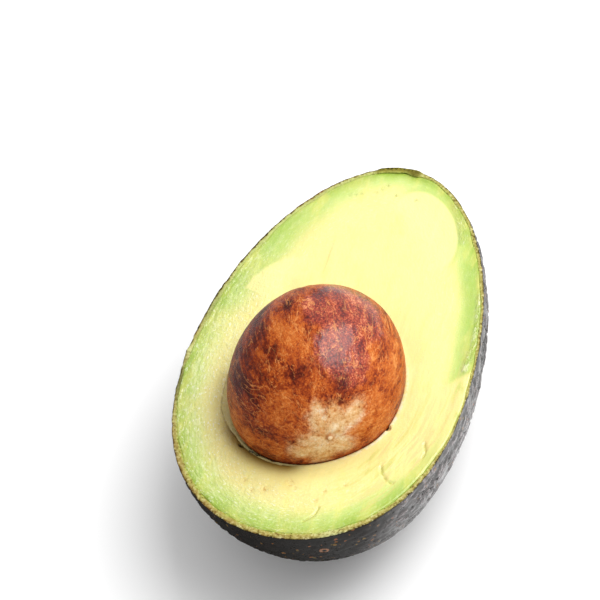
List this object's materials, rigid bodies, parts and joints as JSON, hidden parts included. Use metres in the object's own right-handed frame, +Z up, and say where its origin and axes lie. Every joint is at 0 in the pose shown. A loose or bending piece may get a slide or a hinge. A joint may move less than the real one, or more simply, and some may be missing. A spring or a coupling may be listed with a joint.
{
  "type": "avocado half with seed",
  "caption": "Half of a ripe avocado cut lengthways, with pebbled dark skin, a flat green to pale yellow cut face and a brown seed standing in its socket.",
  "frame": {"origin": "under the middle of the half's bounding box, on the surface that the half lies on", "axes": "+Y along the fruit to its stem end, +X across the cut face, +Z up out of the cut face"},
  "size_m": [0.0634, 0.1008, 0.0547],
  "materials": {
    "skin": "dark purple-brown to black-green, pebbled, semi-gloss with small rusty flecks",
    "flesh": "moist and buttery, pale yellow at the middle and green towards the skin",
    "seed": "mottled reddish brown seed coat with a soft sheen and a fine net of veins"
  },
  "bodies": {
    "root": {"skin": "skin", "flesh": "flesh", "seed": "seed"}
  },
  "joints": []
}
